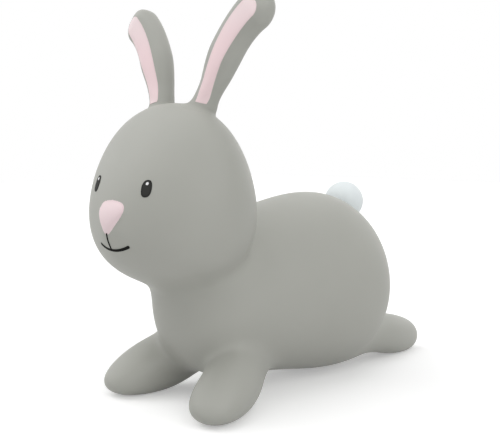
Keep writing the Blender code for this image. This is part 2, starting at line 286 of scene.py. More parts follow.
def leg(at, yaw, drop, heading, half, wide, tall):
    """A leg that points ahead or back, turned out by yaw and down by drop."""
    level = Vector((math.sin(yaw), heading * math.cos(yaw), 0)) * math.cos(drop)
    along = level - Vector((0, 0, math.sin(drop)))
    across = along.cross(Vector((0, 0, 1))).normalized()
    return {
        "Centre": at,
        "Along": along,
        "Over": across.cross(along),
        "Half": half,
        "Wide": wide,
        "Tall": tall,
    }


FORELEG = leg(
    at=(0.0793, -0.1739, 0.0371),
    yaw=0.28,
    drop=0.275,
    heading=-1,
    half=0.0768,
    wide=(0.0363, 0.0102, 0.0033),
    tall=(0.0393, -0.0092, 0.0004),
)
HINDLEG = leg(
    at=(0.0438, 0.2124, 0.0392),
    yaw=-0.056,
    drop=0.219,
    heading=1,
    half=0.1031,
    wide=(0.0337, -0.0030, 0.0032),
    tall=(0.0331, 0.0019, 0.0059),
)
print("foreleg", 2 * FORELEG["Half"], "m long, hindleg", 2 * HINDLEG["Half"], "m long")

# %% [markdown]
# ## Fillets and grooves
# Moulded PVC flows round inner corners, so that two lobes meet in a small fillet and not in a sharp
# groove. A smooth minimum of two distances gives that fillet. A bevel could do it on joined meshes, but
# it needs a clean edge to work on. Dust gathers in a groove, and the finish also darkens it as painted
# shade, so its place is measured for the finish.

# %% Join two distances
CREASE_REACH = 0.022  # how far the shade of a groove spreads


def join(first, second, fillet):
    return first.math("SMOOTH_MIN", second, fillet)


def groove(first, second):
    """One where two lobes are equally near, and zero away from the groove between them."""
    near = (first - second).math("ABSOLUTE") / CREASE_REACH
    return (1.0 - near).clamp(0.0, 1.0)


print("the shade of a groove spreads", CREASE_REACH, "m")

# %% [markdown]
# ## From a tree to a mesh
# The hand-over needs plain meshes with nothing live on them. So each tree runs once, as a modifier on
# an object, its result is kept as that object's mesh, and the modifier goes.

# %% Settle a tree


def settle(name, tree, base=None, **sizes):
    """Run a tree on a mesh, or on nothing, and keep its result as a plain mesh."""
    piece = bpy.data.objects.new(name, base or bpy.data.meshes.new(name))
    bpy.context.scene.collection.objects.link(piece)
    modifier = piece.modifiers.new(tree.name, "NODES")
    modifier.node_group = tree
    for item in tree.interface.items_tree:
        if item.name in sizes:
            modifier[item.identifier] = sizes[item.name]
    graph = bpy.context.evaluated_depsgraph_get()
    result = bpy.data.meshes.new_from_object(piece.evaluated_get(graph))
    piece.modifiers.clear()
    piece.data = result
    result.name = name
    print(name, len(result.polygons), "faces")
    return piece


print("trees settle to plain meshes")

# %% [markdown]
# ## Casting a skin
# The space around a shape is filled with samples of its distance, and the surface where it is zero
# becomes a mesh. That mesh is only near the true surface, so each point is pulled along its normal by
# the distance that is left, a few times over. A remesh of joined meshes would also close the grooves,
# but it would keep their facets. The mesh remembers its rest place and the crease value for the finish.

# %% From distance to mesh
PULLS = 3


def remember(shape, name, wire, data_type):
    """Keep a value on the points of a shape."""
    values = {"Geometry": shape, "Name": name, "Value": wire}
    return shape.node("GeometryNodeStoreNamedAttribute", values, data_type=data_type, domain="POINT")


def cast(name, field, finish, low, high, voxel, **sizes):
    """Mesh the surface where field(place, inputs) gives a distance of zero."""
    labels = dict.fromkeys(sizes, "Float")
    tree, given = geometry_tree(name, Low="Vector", High="Vector", Voxel="Float", **labels)
    place = given["Low"].node("GeometryNodeInputPosition")
    distance, crease = field(place, given)
    x, y, z = ((given["High"] - given["Low"]) / given["Voxel"]).split()
    block = {
        "Density": -distance,
        "Background": -1.0,
        "Min": given["Low"],
        "Max": given["High"],
        "Resolution X": x,
        "Resolution Y": y,
        "Resolution Z": z,
    }
    volume = place.node("GeometryNodeVolumeCube", block)
    shape = place.node("GeometryNodeVolumeToMesh", {"Volume": volume, "Threshold": 0.0})
    for _ in range(PULLS):
        normal = place.node("GeometryNodeInputNormal")
        shape = place.node("GeometryNodeSetPosition", {"Geometry": shape, "Offset": normal * -distance})
    shape = remember(shape, "rest_place", place, "FLOAT_VECTOR")
    shape = remember(shape, "crease", crease, "FLOAT")
    shape = place.node("GeometryNodeSetShadeSmooth", {"Geometry": shape})
    shape = place.node("GeometryNodeRealizeInstances", {"Geometry": shape})
    shape = place.node("GeometryNodeSetMaterial", {"Geometry": shape, "Material": finish})
    end_tree(tree, shape, "Geometry")
    return settle(name, tree, Low=low, High=high, Voxel=voxel, **sizes)


print("each point is pulled", PULLS, "times")

# %% [markdown]
# ## Finishes
# Each finish is one Principled shader. What is the same all over is set on its sockets, and what varies
# comes in on wires. Pictures could carry the variation too, but noise needs no files and has no seams.

# %% Helpers for finishes


def rgba(colour):
    return (*colour, 1.0)


def shade(wire, first, second):
    """Mix two colours by a wire from zero to one."""
    return wire.node("ShaderNodeMix", {0: wire, 6: first, 7: second}, 2, data_type="RGBA")


def new_finish(name, **constants):
    """A material with these constants, and a wire to start its sums from."""
    material = bpy.data.materials.new(name)
    material.use_nodes = True
    shader = material.node_tree.nodes["Principled BSDF"]
    for socket, value in constants.items():
        shader.inputs[socket.replace("_", " ")].default_value = value
    return material, Wire(shader.outputs[0])


def feed(material, **wires):
    shader = material.node_tree.nodes["Principled BSDF"]
    for socket, wire in wires.items():
        material.node_tree.links.new(wire.socket, shader.inputs[socket.replace("_", " ")])
    return material


def remembered(start, name, output):
    """A value that the mesh keeps on its points."""
    return start.node("ShaderNodeAttribute", output=output, attribute_name=name)


def noise(place, scale, detail):
    return place.node("ShaderNodeTexNoise", {"Vector": place, "Scale": scale, "Detail": detail})


def bumps(height, strength, distance):
    values = {"Height": height, "Strength": strength, "Distance": distance}
    return height.node("ShaderNodeBump", values)


print("finish helpers ready")

# %% [markdown]
# Soft PVC is dull, with a faint sheen. Its colour is mixed into the paste, so it hardly varies, but a
# cast skin shows slow clouds of tone, a fine orange peel left by the mould, and a little dust in the
# grooves. The grooves are also darkened as painted shade, standing in for the shade that falls there.
# The clouds and the peel are noise on the rest place that each mesh remembers, so that they
# don't slide when an ear bends.

# %% Moulded PVC
SHEEN = 0.35
CLOUD_SCALE, CLOUD_DETAIL = 11.0, 3.0
PEEL_SCALE, PEEL_DETAIL = 650.0, 2.0
PEEL_STRENGTH, PEEL_HEIGHT = 0.25, 0.0003
DUST_AND_SHADE = 0.25  # share of the dark groove tone, which is dust and painted shade
CLOUD_ROUGHNESS, DUST_ROUGHNESS = 0.12, 0.10  # what clouds and dust add to the roughness


def moulded(name, pale, deep, dust_and_shade, roughness):
    """Coloured PVC: slow clouds between two tones, dust and painted shade in the grooves, and a fine orange
    peel.
    """
    material, start = new_finish(name, Specular_IOR_Level=SHEEN)
    rest = remembered(start, "rest_place", "Vector")
    crease = remembered(start, "crease", "Fac")
    cloud = noise(rest, CLOUD_SCALE, CLOUD_DETAIL)
    peel = bumps(noise(rest, PEEL_SCALE, PEEL_DETAIL), PEEL_STRENGTH, PEEL_HEIGHT)
    tone = shade(cloud, rgba(pale), rgba(deep))
    # Painted shade: the grooves are darkened towards the dark tone, which also stands for dust.
    tone = shade(crease * crease * DUST_AND_SHADE, tone, rgba(dust_and_shade))
    rough = roughness + (cloud - 0.5) * CLOUD_ROUGHNESS + crease * DUST_ROUGHNESS
    return feed(material, Base_Color=tone, Roughness=rough, Normal=peel)


# The third colour of each is the dark tone of the grooves: dust and painted shade.
GREY_PVC = moulded("grey_pvc", (0.41, 0.412, 0.377), (0.378, 0.381, 0.348), (0.25, 0.25, 0.22), 0.50)
WHITE_PVC = moulded("white_pvc", (0.82, 0.87, 0.88), (0.78, 0.83, 0.84), (0.56, 0.61, 0.63), 0.48)
PINK_NOSE = moulded("pink_nose", (0.86, 0.73, 0.74), (0.83, 0.68, 0.70), (0.66, 0.48, 0.51), 0.45)
VALVE_PLASTIC = moulded("valve_plastic", (0.70, 0.70, 0.68), (0.64, 0.64, 0.62), (0.4, 0.4, 0.38), 0.32)
print("moulded", [finish.name for finish in (GREY_PVC, WHITE_PVC, PINK_NOSE, VALVE_PLASTIC)])

# %% [markdown]
# Paint is sprayed through a mask. It lies smoother than the PVC, and at the edge of the mask the coat
# is thin and speckled. The pink of the ears also gets paler towards their tips, so that finish mixes
# in a second colour by height.

# %% Sprayed paint
MIST_SCALE, MIST_DETAIL = 420.0, 2.0
MIST_STRENGTH, MIST_HEIGHT = 0.15, 0.0002
MIST_ROUGHNESS = 0.1  # what the mist adds to the roughness
EDGE_POWER = 6.0  # the higher, the narrower is the thin edge
EDGE_LEAST = 0.4  # share of the thin colour at the edge where the mist is low
FADE_FROM, FADE_TO = 0.47, 0.54  # heights between which the pink of the ears gets paler


def sprayed(name, full, thin, roughness, gloss=SHEEN, high=None):
    """Paint sprayed through a mask: the rim value is one at its edge, where the coat is thin.
    Where a colour for high up is given, the coat fades to it."""
    material, start = new_finish(name, Specular_IOR_Level=gloss)
    rest = remembered(start, "rest_place", "Vector")
    rim = remembered(start, "rim", "Fac")
    mist = noise(rest, MIST_SCALE, MIST_DETAIL)
    edge = rim.math("POWER", EDGE_POWER) * (EDGE_LEAST + (1.0 - EDGE_LEAST) * mist)
    rough = roughness + (mist - 0.5) * MIST_ROUGHNESS
    coat = rgba(full)
    if high:
        up = (rest.split()[2] - FADE_FROM) / (FADE_TO - FADE_FROM)
        coat = shade(up.eased(), coat, rgba(high))
    tone = shade(edge, coat, rgba(thin))
    speckle = bumps(mist, MIST_STRENGTH, MIST_HEIGHT)
    return feed(material, Base_Color=tone, Roughness=rough, Normal=speckle)


PINK_EAR = sprayed("pink_ear", (0.90, 0.70, 0.72), (0.80, 0.65, 0.66), 0.50, high=(0.92, 0.78, 0.79))
DARK_EYE = sprayed("dark_eye", (0.042, 0.042, 0.040), (0.010, 0.010, 0.010), 0.60, gloss=0.03)
DARK_LINE = sprayed("dark_line", (0.012, 0.012, 0.011), (0.02, 0.02, 0.018), 0.60, gloss=0.03)
WHITE_GLINT = sprayed("white_glint", (0.86, 0.86, 0.86), (0.70, 0.70, 0.70), 0.40)
print("sprayed", [finish.name for finish in (PINK_EAR, DARK_EYE, DARK_LINE, WHITE_GLINT)])

# %% [markdown]
# ## A hole for the valve
# The toy is blown up through a valve low on the rump, where a child doesn't sit on it. Its axis comes
# from the joint of the stopper, and its place from the lower line of the trunk. A drill is a cylinder
# with an end, so the hole is the distance to one. Cutting it from the distance is cleaner than from a mesh.

# %% Valve hole
VALVE_TURN = 0.10  # angle of the valve below the trunk's rear end
VALVE_AXIS = Vector(joints["stopper_pull"]["axis"])
HOLE_RADIUS, HOLE_DEPTH = 0.0082, 0.020


def swell(radii, w):
    return radii[0] + radii[1] * w + radii[2] * w * w


def rump(turn):
    """A place on the lower line of the trunk, at this angle below its rear end."""
    w = math.cos(turn)
    height = swell(TRUNK["Lift"], w) - swell(TRUNK["Tall"], w) * math.sin(turn)
    return Vector((0, TRUNK["Centre"][1] + TRUNK["Half"] * w, height))


VALVE_AT = rump(VALVE_TURN)


def valve_hole(place):
    offset = place - VALVE_AT
    outward = offset.dot(VALVE_AXIS)
    beside = (offset - outward * VALVE_AXIS).length()
    return (beside - HOLE_RADIUS).math("MAXIMUM", -outward - HOLE_DEPTH)


print("valve at", [round(x, 4) for x in VALVE_AT])

# %% [markdown]
# ## The skin
# Trunk, head and legs are one skin on the real toy, so they are one mesh here. The head has a soft
# swelling under the nose. The fillet of the neck is tight at the nape and gets wider towards the throat.
# Those of the legs get wider towards the belly, which hangs between them. The feet end in flat soles:
# a smooth maximum with the height above the floor cuts them off and rounds the edge.

# %% The skin as a distance
SNOUT_AT, SNOUT_REACH, SNOUT_OUT = Vector((0, -0.3090, 0.2440)), 0.028, 0.0062
NECK_HIGH, NECK_LOW = 0.245, 0.155  # heights between which the fillet of the neck widens downwards
LEG_HIGH, LEG_LOW = 0.085, 0.035  # heights between which those of the legs widen downwards
LEG_OUTER, LEG_INNER = 0.10, 0.06  # and distances from the middle, towards the middle


def mirrored(place):
    """The same place on the animal's left side, so that one leg or ear stands for both."""
    x, y, z = place.split()
    return x.math("ABSOLUTE").pack(y, z)


def trunk_form(place):
    return lobe(place, TRUNK)


def head_form(place):
    far = (place - SNOUT_AT).length() / SNOUT_REACH
    return lobe(place, HEAD) - (far * far * -1.0).math("EXPONENT") * SNOUT_OUT


def skin_field(place, given):
    near, height = mirrored(place), place.split()[2]
    trunk, head = trunk_form(place), head_form(place)
    low = ((NECK_HIGH - height) / (NECK_HIGH - NECK_LOW)).eased()
    neck = given["Neck_back"] + (given["Neck_front"] - given["Neck_back"]) * low
    body = join(trunk, head, neck)
    legs = lobe(near, FORELEG).math("MINIMUM", lobe(near, HINDLEG))
    under = ((LEG_HIGH - height) / (LEG_HIGH - LEG_LOW)).eased()
    inside = ((LEG_OUTER - near.split()[0]) / (LEG_OUTER - LEG_INNER)).eased()
    fillet = given["Leg_over"] + (given["Leg_under"] - given["Leg_over"]) * under * inside
    flat = join(body, legs, fillet).math("SMOOTH_MAX", -height, given["Sole_edge"])
    crease = groove(trunk, head) * (1.0 - low)
    return flat.math("MAXIMUM", -valve_hole(place)), crease


print("the neck's fillet widens from", NECK_HIGH, "down to", NECK_LOW, "m above the floor")

# %% [markdown]
# The block of samples reaches from the floor to the crown of the head, with some room around it. Finer
# samples would only add triangles, because the pulls already bring each point onto the surface.

# %% Trunk, head and legs
SKIN_VOXEL = 0.0034
MARGIN = Vector((0.012, 0.012, 0.012))
crown = Vector((cad_high.x, cad_high.y, HEAD["Centre"][2] + HEAD["Half"]))
skin = cast(
    "skin",
    skin_field,
    GREY_PVC,
    low=cad_low - MARGIN,
    high=crown + MARGIN,
    voxel=SKIN_VOXEL,
    Neck_back=0.012,
    Neck_front=0.075,
    Leg_over=0.033,
    Leg_under=0.062,
    Sole_edge=0.004,
)
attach(skin, "skin")
leg_nodes = [f"{kind}_{side}" for kind in ("foreleg", "hindleg") for side, _ in SIDES]
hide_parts("trunk_shell", "head_shell", *leg_nodes)

# %% [markdown]
# ## Lobes that grow out of the skin
# Ears, tail and nose are part of the same casting, but each is a piece of its own here, because it
# moves or has its own colour. Such a piece is the smooth join of the skin and the new lobe, kept
# only as far out as the fillet reaches. Its edge then lies on the skin with no step.

# %% A lobe with its fillet
FILLET_SHARE = 0.85


def grown(base, form):
    """The field of a lobe that grows out of a base."""

    def field(place, given):
        below, lobe_distance = base(place), form(place)
        joined = join(below, lobe_distance, given["Fillet"])
        kept = lobe_distance - given["Fillet"] * FILLET_SHARE
        return joined.math("MAXIMUM", kept), groove(below, lobe_distance)

    return field


def around(node, fillet):
    """The box of a node of the frame, with room for the fillet."""
    low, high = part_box(node)
    room = MARGIN + Vector((fillet, fillet, fillet))
    return low - room, high + room


print("fillets reach", FILLET_SHARE, "of their size")

# %% [markdown]
# ## The ears
# The ears are the grips. Each follows a gentle curve from its root to its tip. Three points give that
# curve, and its root is the hinge of the construction. A profile swept along it would have to be
# joined to the head afterwards, so the ear is a distance too.

# %% The curve of an ear
EAR_ROOT = Vector(joints["ear_left_flex"]["pos_m"])
EAR_BEND = Vector((0.0670, -0.1683, 0.4856))
EAR_TIP = Vector((0.1094, -0.1603, 0.5166))
EAR_CHORD = EAR_TIP - EAR_ROOT
EAR_RADIUS = (0.0170, 0.0153, 0.0162)  # at the root, in the middle and at the tip


def through(values, t):
    """The smooth value at t that is values[0] at 0, values[1] at one half and values[2] at 1."""
    first, middle, last = values
    s = 1.0 - t
    return first * s * (s - t) + middle * 4.0 * s * t + last * t * (t - s)


def along_ear(t):
    """Place, direction and radius of the ear at t, from 0 at its root to 1 at its tip."""
    s = 1.0 - t
    place = (s * s) * EAR_ROOT + (2.0 * s * t) * EAR_BEND + (t * t) * EAR_TIP
    course = s * (EAR_BEND - EAR_ROOT) + t * (EAR_TIP - EAR_BEND)
    return place, course, through(EAR_RADIUS, t)


print("from root to tip an ear measures", round(EAR_CHORD.length, 3), "m")

# %% [markdown]
# The nearest place on the curve is found by stepping along it a few times. There the section is
# measured from side to side, from front to back and along the curve. It is round at the root, gets wider
# upwards and is flatter on its front. The foot of the ear leans a little inwards and ahead.

# %% The section of an ear
EAR_SIDE, EAR_DEEP, EAR_LONG = 1.59, 1.18, 1.8  # half width, half depth and round end, in radii
EAR_FLAT = 3.2  # 2 is a round front, more is flatter
EAR_TOE = -0.159  # turn of the front, outwards when positive
AHEAD = Vector((math.sin(EAR_TOE), -math.cos(EAR_TOE), 0))
ROUND_ROOT = 0.48  # share of the ear over which its round root takes its full section
FOOT_LEAN = Vector((-0.0031, -0.0032, 0))
FOOT_HEIGHT = 0.035  # how far up the lean of the foot reaches
CURVE_STEPS, STEP_SHARE = 4, 0.5


def nearest_on_ear(place):
    t = ((place - EAR_ROOT).dot(EAR_CHORD) / EAR_CHORD.length_squared).clamp(0.0, 1.0)
    for _ in range(CURVE_STEPS):
        point, course, _ = along_ear(t)
        t = (t + (place - point).dot(course) / course.dot(course) * STEP_SHARE).clamp(0.0, 1.0)
    return t


def ear_form(place):
    place = mirrored(place)
    rise = (place.split()[2] - EAR_ROOT.z) / FOOT_HEIGHT
    place = place - (1.0 - rise).eased() * FOOT_LEAN
    t = nearest_on_ear(place)
    point, course, radius = along_ear(t)
    course = course.math("NORMALIZE")
    front = (course * -course.dot(AHEAD) + AHEAD).math("NORMALIZE")
    offset = place - point
    ahead = offset.dot(front)
    shaped = (t / ROUND_ROOT).eased()
    shares = EAR_SIDE, EAR_DEEP, EAR_LONG
    wide, deep, long = (radius * (1.0 + (share - 1.0) * shaped) for share in shares)
    beside = offset.dot(front.math("CROSS_PRODUCT", course)) / wide
    before, up = ahead / deep, offset.dot(course) / long
    power = 2.0 + (EAR_FLAT - 2.0) * shaped * ahead.math("GREATER_THAN", 0.0)
    sides = [side.math("ABSOLUTE").math("POWER", power) for side in (beside, before)]
    ring = (sides[0] + sides[1]).math("POWER", 1.0 / power)
    size = ring.pack(up, 0.0).length()
    reach = beside.pack(before, up)
    steepness = (reach / wide.pack(deep, long)).length().math("MAXIMUM", TINY)
    return (size - 1.0) * reach.length() / steepness


print("the lean of an ear's foot is", round(FOOT_LEAN.length, 4), "m")

# %% [markdown]
# An ear of soft PVC doesn't break off at a hinge. Each ear here is cast as one piece with its fillet,
# and the ear of the frame is hidden.

# %% Ears
EAR_VOXEL, EAR_FILLET = 0.0016, 0.020


def bend_with_ear(piece):
    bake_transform(piece)


ears = {}
for side, sign in SIDES:
    low, high = around("ear_" + side, EAR_FILLET)
    ear = cast(
        f"ear_skin_{side}",
        grown(head_form, ear_form),
        GREY_PVC,
        low=low,
        high=high,
        voxel=EAR_VOXEL,
        Fillet=EAR_FILLET,
    )
    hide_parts("ear_" + side)
    bend_with_ear(ear)
    ears[side] = ear

# %% [markdown]
# ## Printed films
# Inner ears, eyes and mouth are paint on the curved skin. A picture of paint in the material would
# do from afar, but its edge would blur and the shape would have no thickness. Each film starts as a flat
# sheet seen from the front. A tree casts a ray from every point of it towards the back, lays the
# point on the skin where the ray lands and gives the film a thickness that ends inside the skin.

# %% A tree that lays a sheet on the skin
MERGE = 1e-6  # points nearer than this become one
FAR_AHEAD = -1.0  # y from which the rays start


def laid_tree(finish):
    inputs = {"Sheet": "Geometry", "Skin": "Object", "Top": "Float", "Depth": "Float"}
    tree, given = geometry_tree("laid_" + finish.name, **inputs)
    place = given["Sheet"].node("GeometryNodeInputPosition")
    x, _, z = place.split()
    ray = {
        "Target Geometry": place.node("GeometryNodeObjectInfo", {"Object": given["Skin"]}, "Geometry"),
        "Source Position": x.pack(FAR_AHEAD, z),
        "Ray Direction": (0, 1, 0),
        "Ray Length": -2 * FAR_AHEAD,
    }
    landed = place.node("GeometryNodeRaycast", ray, "Hit Position")
    foot = landed - landed.sibling("Hit Normal") * given["Depth"]
    base = place.node("GeometryNodeSetPosition", {"Geometry": given["Sheet"], "Position": foot})
    values = {"Mesh": base, "Offset Scale": given["Top"] + given["Depth"], "Individual": False}
    raised = place.node("GeometryNodeExtrudeMesh", values, mode="FACES")
    under = place.node("GeometryNodeFlipFaces", {"Mesh": base})
    both = place.node("GeometryNodeJoinGeometry", {"Geometry": under})
    tree.links.new(raised.socket, both.socket.node.inputs["Geometry"])
    shape = place.node("GeometryNodeMergeByDistance", {"Geometry": both, "Distance": MERGE})
    shape = remember(shape, "rest_place", place, "FLOAT_VECTOR")
    shape = place.node("GeometryNodeRealizeInstances", {"Geometry": shape})
    shape = place.node("GeometryNodeSetMaterial", {"Geometry": shape, "Material": finish})
    return end_tree(tree, shape, "Geometry")


print("rays start", -FAR_AHEAD, "m ahead")

# %% [markdown]
# The flat sheet is a grid whose points are moved to the outline of the print. Each point gets a rim
# value, one at the edge of the mask, which the finish turns into a thinner coat.

# %% Sheets and films
SLIVER = 1e-7  # edges shorter than this are dissolved
FILM_TOP, FILM_DEPTH = 0.0004, 0.0004  # how far a film stands out of the skin and sinks into it
SHARP_ANGLE = math.radians(50)


def sheet(name, columns, rows, place):
    """A flat grid facing ahead. place(u, v) gives x, z and the rim value for u and v in -1 to 1."""
    bm = bmesh.new()
    bmesh.ops.create_grid(bm, x_segments=columns, y_segments=rows, size=1.0)
    rim = bm.verts.layers.float.new("rim")
    for vert in bm.verts:
        x, z, vert[rim] = place(vert.co.x, vert.co.y)
        vert.co = (x, 0, z)
    bmesh.ops.remove_doubles(bm, verts=bm.verts, dist=MERGE)
    bmesh.ops.dissolve_degenerate(bm, edges=bm.edges, dist=SLIVER)
    bmesh.ops.recalc_face_normals(bm, faces=bm.faces)
    bm.faces.ensure_lookup_table()
    bm.normal_update()
    if bm.faces[0].normal.y > 0:
        bmesh.ops.reverse_faces(bm, faces=bm.faces)
    mesh = bpy.data.meshes.new(name)
    bm.to_mesh(mesh)
    bm.free()
    return mesh


def film(name, finish, flat, target, node, top=FILM_TOP):
    """Lay a flat sheet on a target, in the place of a node of the frame."""
    piece = settle(name, laid_tree(finish), flat, Skin=target, Top=top, Depth=FILM_DEPTH)
    piece.data.shade_smooth()
    piece.data.set_sharp_from_angle(angle=SHARP_ANGLE)
    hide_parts(node)
    return piece


print("films are", (FILM_TOP + FILM_DEPTH) * 1000, "mm thick")

# %% [markdown]
# ## Inner ears
# The pink inner ear follows the ear's curve on its front. It is cut straight at the bottom, gets wider
# upwards and ends in a round top. The masks sat a little towards the animal's left at the bottom.

# %% Inner ears
PANEL_FROM, PANEL_TO = 0.013, 1.05  # shares of the ear's curve
PANEL_OUT = (0.0058, 0.0150, 0.0146)  # reach to the outside at the ear's root, middle and tip
PANEL_IN = (0.0065, 0.0102, 0.0130)  # and towards the other ear
PANEL_SLIP = (0.0054, 0.0, 0.0)  # how far the mask sat towards the animal's left
PANEL_END = 0.0120  # height of the round top
STRAIGHT = 0.72  # share of the panel's rows below its round top
PANEL_COLUMNS, PANEL_ROWS = 20, 72


def panel_place(sign):
    def place(u, v):
        row = (v + 1) / 2
        t = PANEL_FROM + (PANEL_TO - PANEL_FROM) * min(1.0, row / STRAIGHT)
        point, course, _ = along_ear(t)
        outer, inner = through(PANEL_OUT, t), through(PANEL_IN, t)
        up = Vector((course.x, 0, course.z)).normalized()
        out = Vector((up.z, 0, -up.x))
        turn = max(0.0, row - STRAIGHT) / (1 - STRAIGHT) * math.pi / 2
        middle = (outer - inner) / 2 + sign * through(PANEL_SLIP, t)
        side = middle + (outer + inner) / 2 * math.cos(turn) * u
        point = point + out * side + up * (PANEL_END * math.sin(turn))
        return sign * point.x, point.z, max(abs(u), math.sin(turn) if turn > 0 else -v)

    return place


for side, sign in SIDES:
    flat = sheet(f"panel_{side}", PANEL_COLUMNS, PANEL_ROWS, panel_place(sign))
    panel = film(f"pink_panel_{side}", PINK_EAR, flat, ears[side], f"inner_ear_{side}")
    bend_with_ear(panel)

# %% [markdown]
# ## Eyes
# The eyes are tall ovals in dark grey with a blacker edge and a white dot. The dot is a film of its own
# that stands a little higher, so that it covers the dark one. The print isn't quite level.

# %% Eyes
EYE_AT, EYE_WIDE, EYE_TALL, EYE_LEAN = Vector((0.0508, 0.3010)), 0.0071, 0.0105, -0.12
EYE_SQUARENESS, ROUND = 2.4, 2.0  # 2 is an ellipse, more is squarer
EYE_DROP = 0.0015  # the print sits lower on the left and higher on the right
GLINT_AT, GLINT_RADIUS, GLINT_TOP = Vector((0.0506, 0.3069)), 0.0019, 0.0008
EYE_GRID, GLINT_GRID = (48, 12), (24, 4)  # steps round the oval, and out from its middle


def oval_place(at, wide, tall, lean, squareness, sign):
    def place(u, v):
        reach, turn = (v + 1) / 2, math.pi * (u + 1)
        c, s = math.cos(turn), math.sin(turn)
        x = math.copysign(abs(c) ** (2 / squareness), c) * wide * reach
        z = math.copysign(abs(s) ** (2 / squareness), s) * tall * reach
        turned = Vector((x, z)) @ Matrix.Rotation(lean, 2)
        return sign * (at.x + turned.x), at.y + turned.y - sign * EYE_DROP, reach

    return place


for side, sign in SIDES:
    oval = oval_place(EYE_AT, EYE_WIDE, EYE_TALL, EYE_LEAN, EYE_SQUARENESS, sign)
    flat = sheet(f"oval_{side}", *EYE_GRID, oval)
    eye = film(f"dark_eye_{side}", DARK_EYE, flat, skin, f"eye_{side}")
    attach(eye, "skin")
    oval = oval_place(GLINT_AT, GLINT_RADIUS, GLINT_RADIUS, 0.0, ROUND, sign)
    flat = sheet(f"dot_{side}", *GLINT_GRID, oval)
    node = f"eye_glint_{side}"
    dot = film(f"eye_dot_{side}", WHITE_GLINT, flat, skin, node, top=GLINT_TOP)
    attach(dot, "skin")

# %% [markdown]
# ## Mouth
# The mouth is a thin stem below the nose and a wide smile, drawn with a brush that presses harder at
# the corners. A curve with a round section would stand out like a wire, so both are films as well. The
# smile is a parabola, and its grid is pinched at both ends to round them.

# %% Mouth
MOUTH_TOP, MOUTH_LOW = 0.2440, 0.2218
MOUTH_CORNER = Vector((0.0280, 0.2286))
SMILE_SHIFT = 0.003  # the smile sits a little to the left of the stem
STEM_LINE, SMILE_LINE, CORNER_LINE = 0.0013, 0.0016, 0.0019  # half widths of the lines
SMILE_GRID, STEM_GRID = (96, 4), (4, 24)


def smile_place(u, v):
    x = MOUTH_CORNER.x * u
    rise = MOUTH_CORNER.y - MOUTH_LOW
    slope = 2 * rise * u / MOUTH_CORNER.x
    lean = Vector((-slope, 1)).normalized()
    half = SMILE_LINE + (CORNER_LINE - SMILE_LINE) * u * u
    past = max(0.0, abs(u) * MOUTH_CORNER.x - MOUTH_CORNER.x + half)
    end = math.sqrt(max(0.0, 1 - past**2 / half**2))
    point = Vector((SMILE_SHIFT + x, MOUTH_LOW + rise * u * u)) + lean * (half * end * v)
    return point.x, point.y, abs(v)


def stem_place(u, v):
    return STEM_LINE * u, MOUTH_LOW + (MOUTH_TOP - MOUTH_LOW) * (v + 1) / 2, abs(u)


for name, grid, place in (("smile", SMILE_GRID, smile_place), ("stem", STEM_GRID, stem_place)):
    line = film("mouth_" + name, DARK_LINE, sheet(name, *grid, place), skin, "mouth")
    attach(line, "skin")

# %% [markdown]
# ## Nose
# The nose is a raised rounded triangle, painted pink over its fillet. It is a lobe that is wide at the top
# and narrow at the bottom, and it grows out of the head.

# %% Nose
NOSE = {
    "Centre": (0, 0, 0.2630),
    "Along": (0, 0, 1),
    "Over": (0, 1, 0),
    "Half": 0.0197,
    "Wide": (0.0187, 0.0117, 0.0038),
    "Tall": (0.0075, 0, 0),
    "Lift": (-0.3063, 0.0047, 0.0019),
}
NOSE_VOXEL, NOSE_FILLET = 0.0008, 0.0022


def grow(name, base, sizes, finish, node, voxel, fillet):
    """Cast a lobe that grows out of a base, in the place of a node of the frame."""
    low, high = around(node, fillet)
    field = grown(base, lambda place: lobe(place, sizes))
    piece = cast(name, field, finish, low=low, high=high, voxel=voxel, Fillet=fillet)
    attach(piece, "skin")
    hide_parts(node)


grow("pink_nose", head_form, NOSE, PINK_NOSE, "nose", NOSE_VOXEL, NOSE_FILLET)

# %% [markdown]
# ## Tail
# The tail is a ball cast in white and welded to the rump, which it meets in a small fillet. A plain
# sphere would cut the rump in a hard line, so it is a lobe with three equal radii.

# %% Tail
TAIL_RADIUS = 0.0314
TAIL = {
    "Centre": (0, 0.1612, 0.2610),
    "Along": (0, 0, 1),
    "Over": (0, 1, 0),
    "Half": TAIL_RADIUS,
    "Wide": (TAIL_RADIUS, 0, 0),
    "Tall": (TAIL_RADIUS, 0, 0),
}
TAIL_VOXEL, TAIL_FILLET = 0.0016, 0.003

grow("white_tail", trunk_form, TAIL, WHITE_PVC, "tail_ball", TAIL_VOXEL, TAIL_FILLET)

# %% [markdown]
# ## The valve
# Low on the rump sits a push-in valve: a flanged bush that is welded into the skin, and a stopper that
# a thumb can pull out. Both are turned shapes, so each is a profile that is spun round the valve's axis.
# A machine would break their sharp corners, and so does a short curve at each corner of the profile.

# %% Turned shapes
SPIN_STEPS, CORNER_STEPS = 72, 5


def rounded(profile):
    """The profile's points, with a short curve at each corner of (radius, height, reach)."""
    corners = [Vector((radius, height)) for radius, height, _ in profile]
    line = []
    for i, corner in enumerate(corners):
        reach = profile[i][2]
        before, after = corners[i - 1], corners[(i + 1) % len(corners)]
        start, end = (corner + (other - corner).normalized() * reach for other in (before, after))
        for k in range(CORNER_STEPS + 1 if reach else 1):
            t = k / CORNER_STEPS
            line.append(start * (1 - t) ** 2 + corner * (2 * t * (1 - t)) + end * t * t)
    return line


